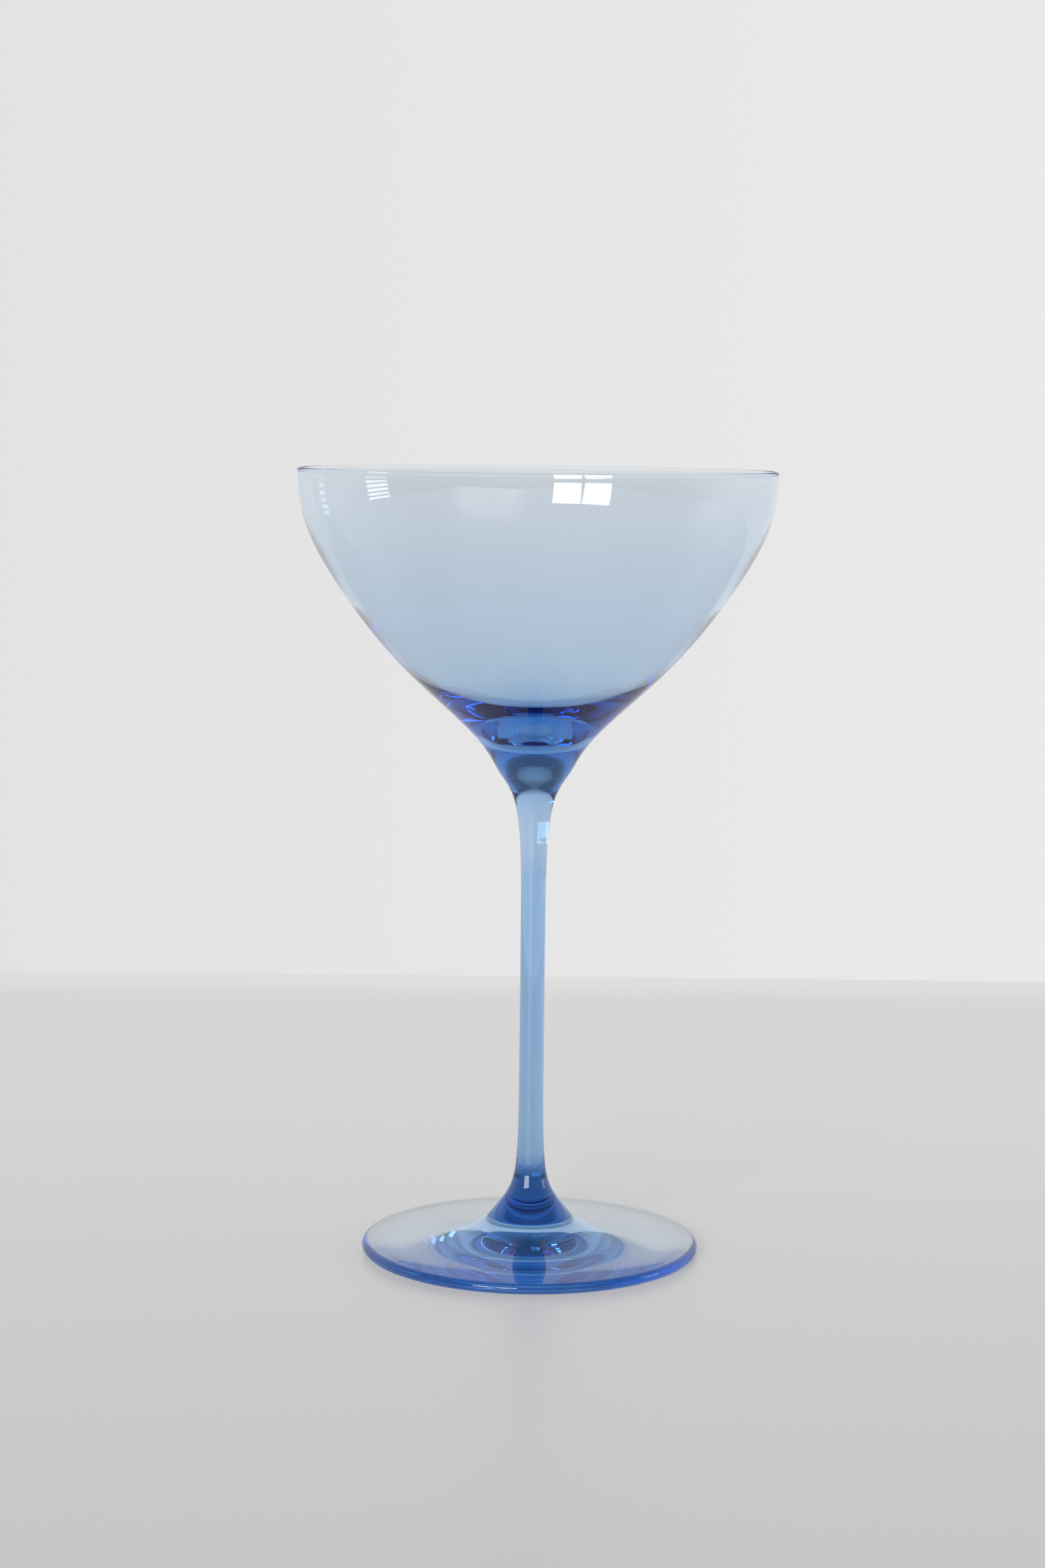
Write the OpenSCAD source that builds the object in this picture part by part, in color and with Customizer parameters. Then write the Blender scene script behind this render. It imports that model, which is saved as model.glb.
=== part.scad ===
// Stemmed cocktail glass: a blown bowl, a drawn stem and a disc foot, fused into one.
// Every piece is a solid of revolution about the vertical axis.
// The origin is the middle of the foot's underside, level with the surface it stands on.

/* [Overall] */
// Height of the rim above the table
height = 177.8; // [170:0.1:190]
// Diameter across the rim
rim_d = 107; // [102:0.5:112]
// Diameter across the foot
foot_d = 76.8; // [72:0.1:84]
// Diameter of the stem where it is thinnest
stem_d = 5.6; // [5:0.1:6.5]

/* [Bowl] */
// Thickness of the rounded lip
lip_t = 0.8; // [0.7:0.1:1]
// Thickness of the wall halfway down the side
side_t = 1.1; // [0.9:0.1:1.5]
// Diameter of the bowl halfway down the side
side_d = 83.5; // [81:0.5:86]
// Drop from the rim to the middle of the side
side_drop = 30; // [28:0.5:32]
// Slope of the side there, from level
side_slope = 55; // [53:1:57]
// Diameter of the ring inside the bowl where the wall turns into the floor
floor_d = 38.6; // [37.5:0.1:40]
// Height of that ring
floor_z = 126.7; // [126:0.1:128]
// Slope of the inside there, from level
floor_slope = 30; // [28:1:32]
// Height of the inside bottom above the table
well_z = 117.5; // [116.5:0.5:119]
// How far the inside bottom stays broad, from the axis
well_reach = 8.5; // [7:0.5:10]

/* [Joints] */
// Height of the ring where the bowl meets the stem
neck_z = 112; // [111:0.5:113]
// Diameter of that ring
neck_d = 18.5; // [18:0.1:19]
// Slope of the outside there, from level
neck_slope = 62; // [60:1:64]
// Height of the ring where the stem meets the foot
ankle_z = 7.8; // [7.4:0.1:8.2]
// Diameter of that ring
ankle_d = 19.2; // [18.6:0.1:19.8]
// Slope of the outside there, from level
ankle_slope = 51; // [49:1:53]

/* [Stem] */
// Height where the stem's head runs into the straight
head_z = 79.3; // [76:0.1:82]
// Height where the straight runs into the flare
flare_z = 43.9; // [41:0.1:46]

/* [Foot] */
// Diameter of the ring where the foot flattens into a disc
disc_d = 30.5; // [30:0.5:32]
// Height of the top of the disc there
disc_z = 5; // [4.8:0.1:5.2]
// Slope of the disc there, from level
disc_slope = 14.5; // [13.5:0.5:15.5]
// Thickness of the rounded edge
edge_t = 2.4; // [2.1:0.1:2.6]
// Diameter of the ring that the foot rests on, at its inner side
rest_d = 68.5; // [66:0.5:69]
// Height of the underside around the kick
under_h = 0.2; // [0.1:0.1:0.3]
// Diameter of the shallow kick in the middle of the underside
kick_d = 36; // [33:0.5:39]
// Height of the underside at the middle of the kick
kick_h = 0.7; // [0.4:0.1:1]

/* [Hidden] */
curve_steps = 24;
arc_steps = 12;
round_steps = 128;
blue_glass = [0.42, 0.62, 0.86, 0.55];
pale_glass = [0.66, 0.76, 0.86, 0.5];

// A cubic curve from a to d that leaves towards b and arrives from c.
function curve(a, b, c, d) =
    [for (i = [0 : curve_steps])
        let (t = i / curve_steps, s = 1 - t)
        s * s * s * a + 3 * s * s * t * b + 3 * s * t * t * c + t * t * t * d];

// Points of an arc about a centre, from one angle to another.
function arc(centre, radius, from, to) =
    [for (i = [0 : arc_steps])
        let (turn = from + (to - from) * i / arc_steps)
        centre + radius * [cos(turn), sin(turn)]];

// All points but the last, so that two stretches share one point.
function open_end(points) = [for (i = [0 : len(points) - 2]) points[i]];

// Unit steps down a slope, towards the axis and away from it.
function inward(slope) = [-cos(slope), -sin(slope)];
function outward(slope) = [cos(slope), -sin(slope)];

// Rings of the outline, each as its radius and height.
rim = [rim_d / 2, height];
side = [side_d / 2, height - side_drop];
neck = [neck_d / 2, neck_z];
head = [stem_d / 2, head_z];
flare = [stem_d / 2, flare_z];
ankle = [ankle_d / 2, ankle_z];
disc = [disc_d / 2, disc_z];

// How far each curve holds its direction as it leaves a ring.
rim_pull = 11.5;
side_pull_up = 14.5;
side_pull_down = 24.3;
wall_pull_up = 6.3;
wall_pull_down = 8.9;
floor_pull = 14;
neck_pull_up = 11.8;
neck_pull_down = 8.4;
head_pull = 28.5;
flare_pull = 29.6;
ankle_pull_up = 10.6;
ankle_pull_down = 1;
disc_pull_in = 3.9;
disc_pull_out = 7.1;
edge_pull = 7.6;
edge_slope = 5;

// Where the kick leaves level and where it levels out again, as parts of its radius.
kick_flat = 0.44;
kick_turn = 0.52;

// Outside of the bowl, from the neck up to the lip.
lip_r = lip_t / 2;
lip_centre = rim - [lip_r, lip_r];
bowl_outside = concat(
    open_end(curve(neck, neck - neck_pull_up * inward(neck_slope),
        side + side_pull_down * inward(side_slope), side)),
    open_end(curve(side, side - side_pull_up * inward(side_slope),
        rim - [0, rim_pull], lip_centre + [lip_r, 0])));

// Inside of the bowl, from the lip down to the bottom of the well.
inner_rim = lip_centre - [lip_r, 0];
inner_side = side + side_t * [-sin(side_slope), cos(side_slope)];
floor_ring = [floor_d / 2, floor_z];
well = [0, well_z];
bowl_inside = concat(
    open_end(curve(inner_rim, inner_rim - [0, rim_pull],
        inner_side - side_pull_up * inward(side_slope), inner_side)),
    open_end(curve(inner_side, inner_side + wall_pull_up * inward(side_slope),
        floor_ring - wall_pull_down * inward(floor_slope), floor_ring)),
    curve(floor_ring, floor_ring + floor_pull * inward(floor_slope), well + [well_reach, 0], well));

// Outside of the stem, from the foot up to the bowl.
stem_outside = concat(
    curve(ankle, ankle - ankle_pull_up * outward(ankle_slope), flare - [0, flare_pull], flare),
    curve(head, head + [0, head_pull], neck + neck_pull_down * inward(neck_slope), neck));

// Underside of the foot, from the axis out to the ring that it rests on.
kick_r = kick_d / 2;
rest_r = rest_d / 2;
blend = (rest_r - kick_r) / 3; // a third, so that the curve runs evenly
foot_under = concat(
    open_end(curve([0, kick_h], [kick_r * kick_flat, kick_h],
        [kick_r * kick_turn, under_h], [kick_r, under_h])),
    curve([kick_r, under_h], [kick_r + blend, under_h], [rest_r - blend, 0], [rest_r, 0]));

// Rounded edge and top of the foot, from the ring that it rests on up to the stem.
edge_r = edge_t / 2;
edge_centre = [foot_d / 2 - edge_r, edge_r];
edge_top = edge_centre + edge_r * [sin(edge_slope), cos(edge_slope)];
foot_top = concat(
    open_end(arc(edge_centre, edge_r, -90, 90 - edge_slope)),
    open_end(curve(edge_top, edge_top - edge_pull * outward(edge_slope),
        disc + disc_pull_out * outward(disc_slope), disc)),
    curve(disc, disc - disc_pull_in * outward(disc_slope),
        ankle + ankle_pull_down * outward(ankle_slope), ankle));

// Blown shell with a thick solid base.
module bowl()
    color(blue_glass)
    rotate_extrude($fn = round_steps)
    polygon(concat([[0, neck_z]], bowl_outside, open_end(arc(lip_centre, lip_r, 0, 180)), bowl_inside));

// Solid rod, thin in the middle, with a flared head and a wide flared lower end.
module stem()
    color(blue_glass)
    rotate_extrude($fn = round_steps)
    polygon(concat([[0, ankle_z]], stem_outside, [[0, neck_z]]));

// Paler disc with a rounded edge, that rises to the stem and is nearly flat underneath.
module foot()
    color(pale_glass)
    rotate_extrude($fn = round_steps)
    polygon(concat(foot_under, foot_top, [[0, ankle_z]]));

bowl();
stem();
foot();
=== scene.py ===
import math

import bpy
import numpy as np
from mathutils import Matrix, Vector


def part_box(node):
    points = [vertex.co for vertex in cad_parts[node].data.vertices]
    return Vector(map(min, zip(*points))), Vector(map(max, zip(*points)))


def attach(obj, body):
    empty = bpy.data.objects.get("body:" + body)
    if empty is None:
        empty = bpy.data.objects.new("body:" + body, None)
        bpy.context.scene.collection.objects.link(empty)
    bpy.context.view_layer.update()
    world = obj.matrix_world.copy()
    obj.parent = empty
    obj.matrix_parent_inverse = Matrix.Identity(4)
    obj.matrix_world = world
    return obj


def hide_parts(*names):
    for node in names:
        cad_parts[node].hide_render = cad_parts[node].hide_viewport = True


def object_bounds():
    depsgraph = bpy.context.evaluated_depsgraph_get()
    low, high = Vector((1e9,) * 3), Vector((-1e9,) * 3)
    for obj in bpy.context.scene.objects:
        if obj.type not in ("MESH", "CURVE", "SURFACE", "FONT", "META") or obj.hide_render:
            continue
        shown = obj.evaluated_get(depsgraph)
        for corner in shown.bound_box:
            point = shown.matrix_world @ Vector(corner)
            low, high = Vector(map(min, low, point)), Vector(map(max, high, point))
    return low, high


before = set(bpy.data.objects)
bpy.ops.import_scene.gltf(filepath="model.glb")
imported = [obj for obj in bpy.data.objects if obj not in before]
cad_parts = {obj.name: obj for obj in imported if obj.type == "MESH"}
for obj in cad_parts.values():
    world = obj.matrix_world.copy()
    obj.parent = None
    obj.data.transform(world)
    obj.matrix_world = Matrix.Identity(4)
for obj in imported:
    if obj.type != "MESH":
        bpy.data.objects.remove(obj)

bpy.context.view_layer.update()
CAD_LOW, CAD_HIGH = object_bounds()

MM = 0.001
TINY = 1e-7  # a length in metres that counts as nothing

# ---------------------------------------------------------------- outline of each CAD node
SAME_POINT = 5e-6  # rings of the CAD mesh nearer than this are one ring
CORNER_ANGLE = math.radians(28)  # a sharper turn of the outline stays a corner
LONG_STEP = 0.3 * MM  # a longer step of the outline gets points between its ends
FINE_STEPS = 3
LATHE_STEPS = 256


def outline(node):
    """The (radius, height) points of a turned CAD node, from its axis to its axis."""
    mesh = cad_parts[node].data
    seam = {}
    points = []
    for v in mesh.vertices:
        if abs(v.co.y) > TINY or v.co.x < -TINY:
            continue
        here = np.array((max(v.co.x, 0.0), v.co.z))
        for i, p in enumerate(points):
            if np.abs(p - here).max() < SAME_POINT:
                seam[v.index] = i
                break
        else:
            seam[v.index] = len(points)
            points.append(here)
    near = {i: set() for i in range(len(points))}
    for e in mesh.edges:
        a, b = (seam.get(i) for i in e.vertices)
        if a is not None and b is not None and a != b:
            near[a].add(b)
            near[b].add(a)
    ends = [i for i, n in near.items() if len(n) == 1]
    start = min(ends, key=lambda i: points[i][1])
    walk, last = [start], None
    while True:
        onward = [i for i in near[walk[-1]] if i != last]
        if not onward:
            break
        last = walk[-1]
        walk.append(onward[0])
    assert len(walk) == len(points), f"the outline of {node} isn't one line"
    line = [points[i] for i in walk]
    if line[0][0] > SAME_POINT:  # a flat end has no point of its own on the axis
        line.insert(0, np.array((0.0, line[0][1])))
    if line[-1][0] > SAME_POINT:
        line.append(np.array((0.0, line[-1][1])))
    return np.array(line)


def turn(a, b, c):
    u, v = b - a, c - b
    return abs(math.atan2(u[0] * v[1] - u[1] * v[0], u @ v))


def smooth_outline(line):
    """The outline with points added on a smooth curve, and which of the points are corners."""
    n = len(line)
    corner = [i in (0, n - 1) or turn(*line[i - 1 : i + 2]) > CORNER_ANGLE for i in range(n)]

    def tangent(i):
        if i in (0, n - 1) or corner[i]:
            return None
        before, after = line[i] - line[i - 1], line[i + 1] - line[i]
        p, q = np.linalg.norm(before), np.linalg.norm(after)
        way = before / p * q + after / q * p
        return way / np.linalg.norm(way)

    out, sharp = [], []
    for i in range(n - 1):
        a, b = line[i], line[i + 1]
        chord = np.linalg.norm(b - a)
        ta, tb = tangent(i), tangent(i + 1)
        straight = (b - a) / chord
        flat = ta is None and tb is None
        if ta is None:
            ta = straight if tb is None else 2 * (straight @ tb) * straight - tb
        if tb is None:
            tb = straight if flat else 2 * (straight @ ta) * straight - ta
        steps = FINE_STEPS if chord > LONG_STEP else 1
        for k in range(steps):
            t = k / steps
            # Hermite weights of the two ends and of their tangents
            h00, h10 = 2 * t**3 - 3 * t**2 + 1, t**3 - 2 * t**2 + t
            h01, h11 = 3 * t**2 - 2 * t**3, t**3 - t**2
            out.append(h00 * a + h10 * chord * ta + h01 * b + h11 * chord * tb)
            sharp.append(corner[i] and k == 0)
    out.append(line[-1])
    sharp.append(True)
    return np.clip(out, line.min(0), line.max(0)), sharp


# ---------------------------------------------------------------- turned pieces
FUSED_OR_PALE_LIP = "fused"  # 1 on the faces where the glass runs on into the next piece, and less on the lip, where it paints a pale lip line
JOINT_GAP = 0.01 * MM
UPRIGHT = 0.999  # the normal of a joint face has at least this much of Z
LIP_HEIGHT = 0.9 * MM
PAINTED_PALE_LIP = 0.75  # how far the lip goes towards a joint face: paler, and bending light less; a painted pale lip line


def lathe(name, line, sharp, joints):
    """A closed turned mesh. joints holds the heights of the faces that join the next piece."""
    inner = line[1:-1]
    angle = np.arange(LATHE_STEPS) * 2 * math.pi / LATHE_STEPS
    ring = np.stack([np.cos(angle), np.sin(angle)], 1)
    body = [np.concatenate([ring * r, np.full((LATHE_STEPS, 1), z)], 1) for r, z in inner]
    verts = np.concatenate([*body, [[0, 0, line[0][1]]], [[0, 0, line[-1][1]]]])
    low, high = len(inner) * LATHE_STEPS, len(inner) * LATHE_STEPS + 1
    faces = []
    for k in range(LATHE_STEPS):
        m = (k + 1) % LATHE_STEPS
        faces.append((low, m, k))
        for i in range(len(inner) - 1):
            a, b = i * LATHE_STEPS, (i + 1) * LATHE_STEPS
            faces.append((a + k, a + m, b + m, b + k))
        top = (len(inner) - 1) * LATHE_STEPS
        faces.append((top + k, top + m, high))
    mesh = bpy.data.meshes.new(name)
    mesh.from_pydata(verts.tolist(), [], faces)
    mesh.validate()
    mesh.shade_smooth()
    creases = {i - 1 for i in range(1, len(line) - 1) if sharp[i]}
    edge = mesh.attributes.new("sharp_edge", "BOOLEAN", "EDGE")
    for e in mesh.edges:
        a, b = e.vertices
        if a // LATHE_STEPS == b // LATHE_STEPS and a // LATHE_STEPS in creases and max(a, b) < low:
            edge.data[e.index].value = True
    fused = mesh.attributes.new(FUSED_OR_PALE_LIP, "FLOAT", "FACE")
    for f in mesh.polygons:
        flat = abs(f.normal.z) > UPRIGHT
        if flat and any(abs(f.center.z - z) < 2 * JOINT_GAP for z in joints):
            fused.data[f.index].value = 1.0
        # The lip's faces go part way to a joint face: painted light, a pale lip line.
        elif f.center.z > CAD_HIGH.z - LIP_HEIGHT:
            fused.data[f.index].value = PAINTED_PALE_LIP
    piece = bpy.data.objects.new(name, mesh)
    bpy.context.scene.collection.objects.link(piece)
    return piece


# ---------------------------------------------------------------- helpers for node trees
def ramped(tree, value, start, end, soft=True):
    """A value that goes from start to end. Each of the two is (what goes in, what comes out)."""
    node = tree.nodes.new("ShaderNodeMapRange")
    node.interpolation_type = "SMOOTHSTEP" if soft else "LINEAR"
    node.inputs["From Min"].default_value, node.inputs["To Min"].default_value = start
    node.inputs["From Max"].default_value, node.inputs["To Max"].default_value = end
    tree.links.new(value, node.inputs["Value"])
    return node.outputs["Result"]


def combined(tree, operation, first, second):
    node = tree.nodes.new("ShaderNodeMath")
    node.operation = operation
    tree.links.new(first, node.inputs[0])
    tree.links.new(second, node.inputs[1])
    return node.outputs[0]


def along_axes(tree, vector):
    """The X, Y and Z outputs of a vector."""
    node = tree.nodes.new("ShaderNodeSeparateXYZ")
    tree.links.new(vector, node.inputs[0])
    return node.outputs


# ---------------------------------------------------------------- glass
GLASS_IOR = 1.5
AIR_IOR = 1.0
# What a millimetre of glass takes out of red, green and blue light.
SKIN_LOSS = np.array((0.175, 0.097, 0.011))
BODY_LOSS = np.array((0.175, 0.092, 0.026))
# A very deep skin also takes out blue, by the square of its depth.
DEEP_LOSS = np.array((0.0, 0.0, 0.0014))
MOST_TAKEN = 0.9  # the darkest channel of an absorption colour is 1 less this
CLOUD_SCALE = 60.0
CLOUD_DETAIL = 1.0
CLOUD_DEPTH = 0.03

# Strength of the colour all through the glass, as a share of BODY_LOSS.
BODY = 0.47
FOOT_BODY = 0.23
# The heights that the coloured skin is given between, in millimetres.
BOWL_SPAN, STEM_SPAN, FOOT_SPAN = (110, 178), (7, 112.5), (0, 8)
# Depth of the coloured skin by height, both in millimetres.
BOWL_SKIN = [(112, 1.6), (119, 2.3), (123, 1.5), (131, 1.0), (150, 0.75), (172, 0.35), (176.5, 0.1)]
CONE_SKIN = [(8, 20), (15, 18), (18.5, 8), (22, 3.4)]
ROD_SKIN = [(32, 3.4), (74, 3.5), (86, 3.3)]
HEAD_SKIN = [(93, 1.6), (103, 1.2), (112, 1.6)]
STEM_SKIN = CONE_SKIN + ROD_SKIN + HEAD_SKIN
FOOT_SKIN = [(0, 0.1), (5, 0.1), (7.8, 1.0)]


def seen_through(depth):
    """The colour left by so many millimetres of skin."""
    loss = SKIN_LOSS * depth + DEEP_LOSS * depth**2
    return (*np.exp(-loss).tolist(), 1.0)


def skin_by_height(tree, place, layers, span):
    """The skin's colour, from the depths in its layers."""
    low, high = span
    level = ramped(tree, along_axes(tree, place)["Z"], (low * MM, 0), (high * MM, 1), soft=False)
    skin = tree.nodes.new("ShaderNodeValToRGB")
    stops = skin.color_ramp.elements
    while len(stops) < len(layers):
        stops.new(0.5)
    for stop, (height, depth) in zip(stops, layers):
        stop.position = (height - low) / (high - low)
        stop.color = seen_through(depth)
    tree.links.new(level, skin.inputs["Fac"])
    return skin.outputs["Color"]


def clouded(tree, place, colour):
    """The colour, a little uneven, as in blown glass."""
    cloud = tree.nodes.new("ShaderNodeTexNoise")
    cloud.inputs["Scale"].default_value = CLOUD_SCALE
    cloud.inputs["Detail"].default_value = CLOUD_DETAIL
    tree.links.new(place, cloud.inputs["Vector"])
    drift = ramped(tree, cloud.outputs["Fac"], (0, 1 - CLOUD_DEPTH), (1, 1), soft=False)
    uneven = tree.nodes.new("ShaderNodeVectorMath")
    uneven.operation = "SCALE"
    tree.links.new(colour, uneven.inputs[0])
    tree.links.new(drift, uneven.inputs["Scale"])
    return uneven.outputs[0]


def absorption(tree, body):
    """The colour all through the glass, at a strength."""
    lost = BODY_LOSS * body / MM
    density = float(lost.max()) / MOST_TAKEN
    node = tree.nodes.new("ShaderNodeVolumeAbsorption")
    node.inputs["Color"].default_value = (*(1 - lost / density).tolist(), 1)
    node.inputs["Density"].default_value = density
    return node.outputs[0]


def glass(name, body, layers, span):
    """Clear glass with colour all through it and a coloured skin that changes by height.

    The joint faces have no skin and don't bend light, so the glass runs on unseen. The lip is partly
    so: a painted pale line.
    """
    mat = bpy.data.materials.new(name)
    mat.use_nodes = True
    tree = mat.node_tree
    tree.nodes.clear()
    out = tree.nodes.new("ShaderNodeOutputMaterial")
    shader = tree.nodes.new("ShaderNodeBsdfPrincipled")
    shader.inputs["Roughness"].default_value = 0.0
    shader.inputs["Transmission Weight"].default_value = 1.0
    tree.links.new(shader.outputs[0], out.inputs["Surface"])
    tree.links.new(absorption(tree, body), out.inputs["Volume"])

    # On the lip this attribute paints a pale lip line: a whiter colour and less bending of light.
    fused = tree.nodes.new("ShaderNodeAttribute")
    fused.attribute_name = FUSED_OR_PALE_LIP
    bend = ramped(tree, fused.outputs["Fac"], (0, GLASS_IOR), (1, AIR_IOR), soft=False)
    tree.links.new(bend, shader.inputs["IOR"])

    place = tree.nodes.new("ShaderNodeTexCoord").outputs["Object"]
    skin = clouded(tree, place, skin_by_height(tree, place, layers, span))
    clear = tree.nodes.new("ShaderNodeMix")
    clear.data_type = "RGBA"
    tree.links.new(fused.outputs["Fac"], clear.inputs[0])
    tree.links.new(skin, clear.inputs[6])
    clear.inputs[7].default_value = (1, 1, 1, 1)
    tree.links.new(clear.outputs[2], shader.inputs["Base Color"])
    return mat


PIECES = {
    "bowl": ("bowl_glass", glass("bowl_blue", BODY, BOWL_SKIN, BOWL_SPAN)),
    "stem": ("stem_glass", glass("stem_blue", BODY, STEM_SKIN, STEM_SPAN)),
    "foot": ("foot_glass", glass("foot_pale", FOOT_BODY, FOOT_SKIN, FOOT_SPAN)),
}

bowl_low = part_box("bowl")[0].z
foot_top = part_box("foot")[1].z
joints = {"bowl": (bowl_low,), "stem": (bowl_low, foot_top), "foot": (foot_top,)}
reach = min(-CAD_LOW.x, CAD_HIGH.x, -CAD_LOW.y, CAD_HIGH.y)
fit = reach / max(abs(CAD_LOW.x), CAD_HIGH.x)
for node, (slot_name, mat) in PIECES.items():
    line, sharp = smooth_outline(outline(node))
    line[:, 0] *= fit
    bottom = line[:, 1].min()
    for z in joints[node]:
        at = np.abs(line[:, 1] - z) < TINY
        line[at, 1] += JOINT_GAP if abs(z - bottom) < TINY else -JOINT_GAP
    piece = lathe(node + "_glass", line, sharp, joints[node])
    piece.data.materials.append(mat)
    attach(piece, "root")
    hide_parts(node)

# ---------------------------------------------------------------- floor
FLOOR_BACK, FLOOR_FRONT, FLOOR_HALF = 0.34, -1.3, 0.9
FLOOR_DROP = 0.05 * MM  # just under the foot, so that the two don't touch
TABLE_COLOUR = (0.8, 0.8, 0.79, 1)
TABLE_ROUGHNESS = 0.35
# The table gives off light of its own, though it is no lamp: painted light in this colour.
GLOW_COLOUR = (1.0, 0.985, 0.975, 1)
# Where the table's painted light starts and ends changing, in metres, and how strong it is there.
FRONT_GLOW, BACK_GLOW = (-0.35, 0.12), (0.15, 0.25)
UNDER_GLOW, UNDER_END = (30 * MM, 0.08), (38 * MM, 0)
EDGE_START, EDGE_GLOW = (FLOOR_BACK - 55 * MM, 0), (FLOOR_BACK, 0.075)

mesh = bpy.data.meshes.new("floor")
mesh.from_pydata(
    [
        (-FLOOR_HALF, FLOOR_FRONT, 0),
        (FLOOR_HALF, FLOOR_FRONT, 0),
        (FLOOR_HALF, FLOOR_BACK, 0),
        (-FLOOR_HALF, FLOOR_BACK, 0),
    ],
    [],
    [(0, 1, 2, 3)],
)
floor = bpy.data.objects.new("floor", mesh)
bpy.context.scene.collection.objects.link(floor)
floor.location.z = -FLOOR_DROP
mat = bpy.data.materials.new("pale_table")
mat.use_nodes = True
mesh.materials.append(mat)
tree = mat.node_tree
shader = tree.nodes["Principled BSDF"]
shader.inputs["Base Color"].default_value = TABLE_COLOUR
shader.inputs["Roughness"].default_value = TABLE_ROUGHNESS
shader.inputs["Emission Color"].default_value = GLOW_COLOUR

where = tree.nodes.new("ShaderNodeNewGeometry").outputs["Position"]
back = along_axes(tree, where)["Y"]
radius = tree.nodes.new("ShaderNodeVectorMath")
radius.operation = "LENGTH"
tree.links.new(where, radius.inputs[0])
room = ramped(tree, back, FRONT_GLOW, BACK_GLOW, soft=False)  # painted light: the table glows more towards the back, as if lit from the back of the room
under = ramped(tree, radius.outputs["Value"], UNDER_GLOW, UNDER_END)  # a painted pool of light, gathered by the foot
edge = ramped(tree, back, EDGE_START, EDGE_GLOW)  # painted light: the table glows at its far edge, so that it blurs into the wall
# The table's painted light: from the back, under the foot and at the far edge.
painted_glow = combined(tree, "ADD", combined(tree, "ADD", room, under), edge)
tree.links.new(painted_glow, shader.inputs["Emission Strength"])

# ---------------------------------------------------------------- world
# Each pair is a part of the direction looked in, and what it gives there.
ROOM_LIGHT, WALL_LIGHT = (-0.5, 0.13), (0.5, 0.78)  # the camera's side, and the wall behind the glass
LEFT_SHARE, RIGHT_SHARE = (-0.3, 0.97), (0.3, 1.06)  # the room is a little brighter on the right
CEILING_START, CEILING_END = (0.35, 0), (0.85, 1)
CEILING_LIGHT = 0.2

world = bpy.data.worlds.new("room")
world.use_nodes = True
bpy.context.scene.world = world
tree = world.node_tree
way = along_axes(tree, tree.nodes.new("ShaderNodeTexCoord").outputs["Generated"])
walls = ramped(tree, way["Y"], ROOM_LIGHT, WALL_LIGHT)
slant = ramped(tree, way["X"], LEFT_SHARE, RIGHT_SHARE)
above = ramped(tree, way["Z"], CEILING_START, CEILING_END)
mix = tree.nodes.new("ShaderNodeMix")
mix.data_type = "FLOAT"
tree.links.new(above, mix.inputs[0])
tree.links.new(combined(tree, "MULTIPLY", walls, slant), mix.inputs[2])
mix.inputs[3].default_value = CEILING_LIGHT
tree.links.new(mix.outputs[0], tree.nodes["Background"].inputs["Color"])

# ---------------------------------------------------------------- windows
WINDOW_AWAY = 3.0
WINDOW_AIM = Vector((0, 0, 0.16))
PANES = {"window_left_pane": -31.5, "window_right_pane": -15.5}
PANE_RISE, PANE_SIZE, PANE_GLOW = 15, (0.74, 0.95), 9
BLINDS, BLIND_SIZE, BLIND_GLOW = 5, (0.75, 0.07), 5
BLIND_AZIMUTH, BLIND_RISE, BLIND_STEP = 90, 5, 2.2


def window(name, azimuth, rise, size, radiance):
    """A bright pane in a direction: degrees from the camera's side towards +X, and degrees up."""
    a, e = math.radians(azimuth), math.radians(rise)
    way = Vector((math.sin(a) * math.cos(e), -math.cos(a) * math.cos(e), math.sin(e)))
    place = WINDOW_AIM + way * WINDOW_AWAY
    width, height = size
    data = bpy.data.lights.new(name, "AREA")
    data.shape = "RECTANGLE"
    data.size, data.size_y = width, height
    data.energy = radiance * math.pi * width * height
    light = bpy.data.objects.new(name, data)
    bpy.context.scene.collection.objects.link(light)
    light.location = place
    light.rotation_mode = "QUATERNION"
    light.rotation_quaternion = (WINDOW_AIM - place).to_track_quat("-Z", "Y")


for name, azimuth in PANES.items():
    window(name, azimuth, PANE_RISE, PANE_SIZE, PANE_GLOW)
for i in range(BLINDS):
    window(f"side_blind_{i}", BLIND_AZIMUTH, BLIND_RISE + BLIND_STEP * i, BLIND_SIZE, BLIND_GLOW)

# ---------------------------------------------------------------- camera
CAMERA_AT = Vector((-2.733, -675.5, 189.05)) * MM
CAMERA_DOWN = math.radians(6.909)
CAMERA_ROLL = math.radians(0.621)
LENS = 69.344
SENSOR = 36
NEAREST, FARTHEST = 0.01, 50
BOUNCES = 128  # light runs a long way inside the thin wall of the bowl
CLEAR_BOUNCES = 16

data = bpy.data.cameras.new("camera")
data.sensor_width = SENSOR
data.lens = LENS
data.clip_start, data.clip_end = NEAREST, FARTHEST
camera = bpy.data.objects.new("camera", data)
bpy.context.scene.collection.objects.link(camera)
camera.matrix_world = (
    Matrix.Translation(CAMERA_AT)
    @ Matrix.Rotation(math.pi / 2 - CAMERA_DOWN, 4, "X")
    @ Matrix.Rotation(CAMERA_ROLL, 4, "Z")
)
scene = bpy.context.scene
scene.camera = camera
scene.view_settings.view_transform = "Standard"
scene.cycles.max_bounces = BOUNCES
scene.cycles.transmission_bounces = BOUNCES
scene.cycles.glossy_bounces = BOUNCES
scene.cycles.transparent_max_bounces = CLEAR_BOUNCES
scene.cycles.use_denoising = True

bpy.context.view_layer.update()
